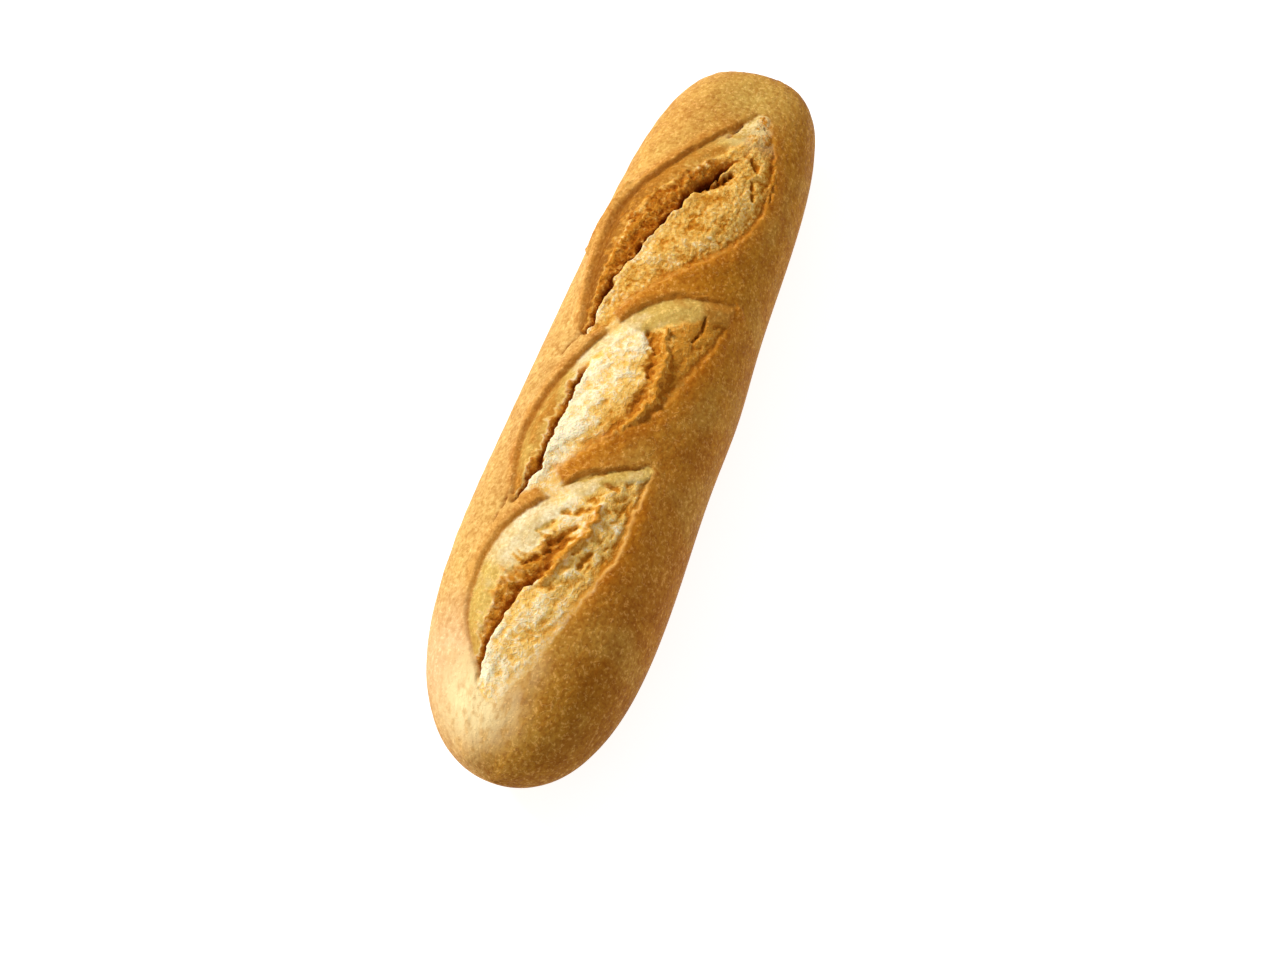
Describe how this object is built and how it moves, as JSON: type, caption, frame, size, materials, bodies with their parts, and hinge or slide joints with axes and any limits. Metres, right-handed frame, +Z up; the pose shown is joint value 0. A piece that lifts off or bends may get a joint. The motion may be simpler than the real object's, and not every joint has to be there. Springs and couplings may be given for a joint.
{
  "type": "baguette",
  "caption": "Short crusty bread loaf, long and rounded, with slanting cuts torn open along its top.",
  "frame": {"origin": "centre of the flat base that the loaf rests on, below the middle of its box", "axes": "+X along the loaf towards its narrower end, +Z up through the cut crust, -Y towards the browner flank"},
  "size_m": [0.2551, 0.0682, 0.0527],
  "materials": {
    "crust": "matte golden brown baked crust, pale torn crumb in the cuts"
  },
  "bodies": {
    "root": {"baguette": "crust"}
  },
  "joints": []
}
